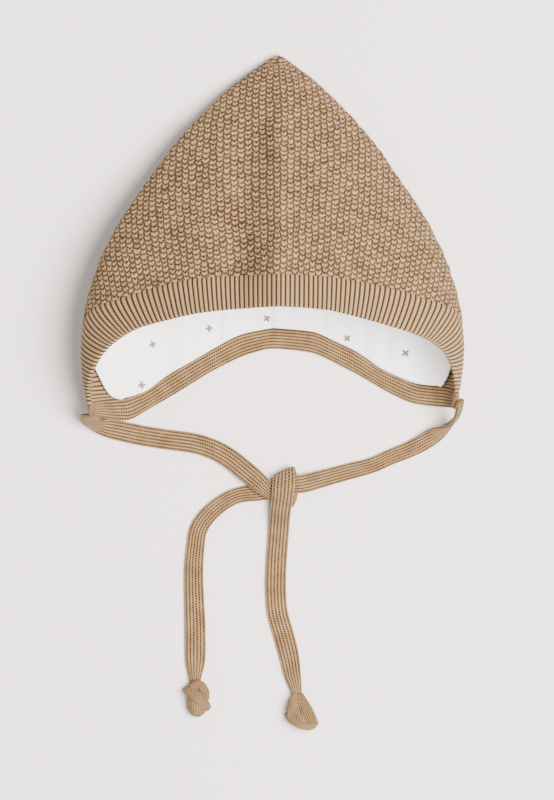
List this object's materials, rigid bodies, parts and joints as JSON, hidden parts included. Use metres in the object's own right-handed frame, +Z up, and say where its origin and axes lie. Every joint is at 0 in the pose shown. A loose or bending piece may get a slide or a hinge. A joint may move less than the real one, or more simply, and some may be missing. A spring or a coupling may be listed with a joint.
{
  "type": "baby bonnet",
  "caption": "Knitted baby bonnet with a pointed moss-stitch crown, ribbed brim, printed cotton lining and knitted tie strings crossed in a half knot, lying on its back.",
  "frame": {"origin": "centre of the footprint of the bonnet without its strings, on the surface it lies on", "axes": "+Z up from that surface, +Y from the neck edge towards the pointed peak, X across the face opening, with the back of the head side underneath"},
  "size_m": [0.1806, 0.3221, 0.0843],
  "materials": {
    "moss_knit": "matte sand-coloured moss-stitch cotton knit",
    "rib_knit": "matte sand-coloured ribbed cotton knit",
    "tube_knit": "matte sand-coloured flat tubular cotton knit",
    "printed_cotton": "off-white woven cotton with small scattered grey crosses"
  },
  "bodies": {
    "root": {"crown": "moss_knit", "lining": "printed_cotton", "brim": "rib_knit", "neck_band": "tube_knit", "tie_left": "tube_knit", "tie_right": "tube_knit", "end_knot_left": "tube_knit", "end_knot_right": "tube_knit"}
  },
  "joints": []
}
